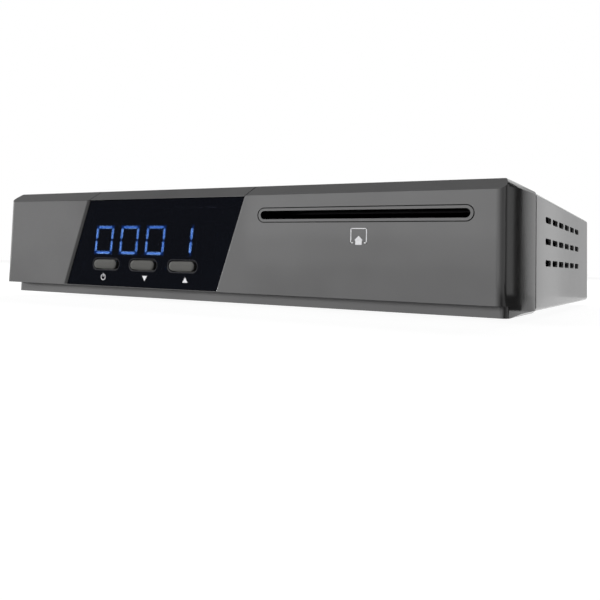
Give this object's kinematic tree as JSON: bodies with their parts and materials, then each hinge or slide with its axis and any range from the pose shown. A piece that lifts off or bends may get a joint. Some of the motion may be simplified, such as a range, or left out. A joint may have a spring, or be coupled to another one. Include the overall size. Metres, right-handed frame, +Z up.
{
  "type": "satellite tv receiver",
  "caption": "Slim set-top receiver: dark plastic front with slanted black display window, push buttons and a smart-card slot; grey vented steel case with rear sockets.",
  "frame": {"origin": "middle of the footprint, rear connector included, on the surface that the feet stand on", "axes": "+X to the right across the front seen from the front, +Y from the front face back to the sockets, +Z up"},
  "size_m": [0.165, 0.156, 0.0341],
  "materials": {
    "bezel_plastic": "satin, fine texture",
    "window_plastic": "high gloss",
    "button_plastic": "satin",
    "case_paint": "satin",
    "zinc_steel": "zinc plated",
    "foot_rubber": "matte",
    "black_screw": "black oxide",
    "bright_screw": "bright zinc",
    "tape": "matte foam",
    "board_green": "solder mask",
    "display_black": "matte",
    "segment_lit": "glowing",
    "segment_dark": "matte",
    "black_plastic": "matte",
    "cream_plastic": "matte",
    "red_plastic": "satin",
    "white_plastic": "satin",
    "ribbon_film": "satin film",
    "gold_contact": "gold plated",
    "nickel": "nickel plated",
    "sink_aluminium": "black anodised",
    "can_aluminium": "satin",
    "ferrite": "matte",
    "chip_epoxy": "matte"
  },
  "bodies": {
    "case": {"front_bezel": "bezel_plastic", "display_lens": "window_plastic", "lens_adhesive": "tape", "button_guide": "black_plastic", "switch_housings": "black_plastic", "front_board": "board_green", "front_board_screws": "bright_screw", "display_housing": "display_black", "display_lit_segments": "segment_lit", "display_dark_segments": "segment_dark", "infrared_receiver": "black_plastic", "top_cover": "case_paint", "base_pan": "zinc_steel", "rubber_feet": "foot_rubber", "cover_screws": "black_screw", "bezel_screws": "black_screw", "main_board": "board_green", "main_board_standoffs": "nickel", "main_board_screws": "bright_screw", "system_chip": "chip_epoxy", "heatsink": "sink_aluminium", "board_chips": "chip_epoxy", "power_inductors": "ferrite", "capacitors": "can_aluminium", "ribbon_sockets": "cream_plastic", "front_ribbon": "ribbon_film", "card_ribbon": "ribbon_film", "card_reader_tray": "black_plastic", "card_reader_lid": "nickel", "card_contacts": "gold_contact", "card_end_switch": "black_plastic", "card_board": "board_green", "card_board_standoffs": "nickel", "card_board_screws": "bright_screw", "tuner_can": "nickel", "aerial_barrel": "nickel", "aerial_insulator": "white_plastic", "aerial_nut": "nickel", "hdmi_shell": "nickel", "hdmi_tongue": "black_plastic", "usb_shell": "nickel", "usb_tongue": "black_plastic", "scart_socket": "black_plastic", "scart_contacts": "gold_contact", "audio_socket_block": "black_plastic", "audio_collar": "nickel", "audio_insulator": "red_plastic", "infrared_jack": "black_plastic", "power_jack": "black_plastic", "power_pin": "nickel"},
    "button_channel_down": {"button_channel_down": "button_plastic"},
    "button_channel_up": {"button_channel_up": "button_plastic"},
    "button_power": {"button_power": "button_plastic"},
    "switch_plunger_channel_down_body": {"switch_plunger_channel_down": "red_plastic"},
    "switch_plunger_channel_up_body": {"switch_plunger_channel_up": "red_plastic"},
    "switch_plunger_power_body": {"switch_plunger_power": "red_plastic"}
  },
  "joints": [
    {"name": "power_press", "type": "slide", "parent": "case", "child": "button_power", "axis": [0, 1, 0], "range_m": [0, 0.0003], "stiffness_N_per_m": 1500, "springref_m": -0.0005},
    {"name": "power_plunger", "type": "slide", "parent": "case", "child": "switch_plunger_power_body", "axis": [0, 1, 0], "range_m": [0, 0.0003]},
    {"name": "channel_down_press", "type": "slide", "parent": "case", "child": "button_channel_down", "axis": [0, 1, 0], "range_m": [0, 0.0003], "stiffness_N_per_m": 1500, "springref_m": -0.0005},
    {"name": "channel_down_plunger", "type": "slide", "parent": "case", "child": "switch_plunger_channel_down_body", "axis": [0, 1, 0], "range_m": [0, 0.0003]},
    {"name": "channel_up_press", "type": "slide", "parent": "case", "child": "button_channel_up", "axis": [0, 1, 0], "range_m": [0, 0.0003], "stiffness_N_per_m": 1500, "springref_m": -0.0005},
    {"name": "channel_up_plunger", "type": "slide", "parent": "case", "child": "switch_plunger_channel_up_body", "axis": [0, 1, 0], "range_m": [0, 0.0003]}
  ],
  "couplings": [
    {"joint": "power_plunger", "follows": "power_press", "ratio": 1},
    {"joint": "channel_down_plunger", "follows": "channel_down_press", "ratio": 1},
    {"joint": "channel_up_plunger", "follows": "channel_up_press", "ratio": 1}
  ]
}
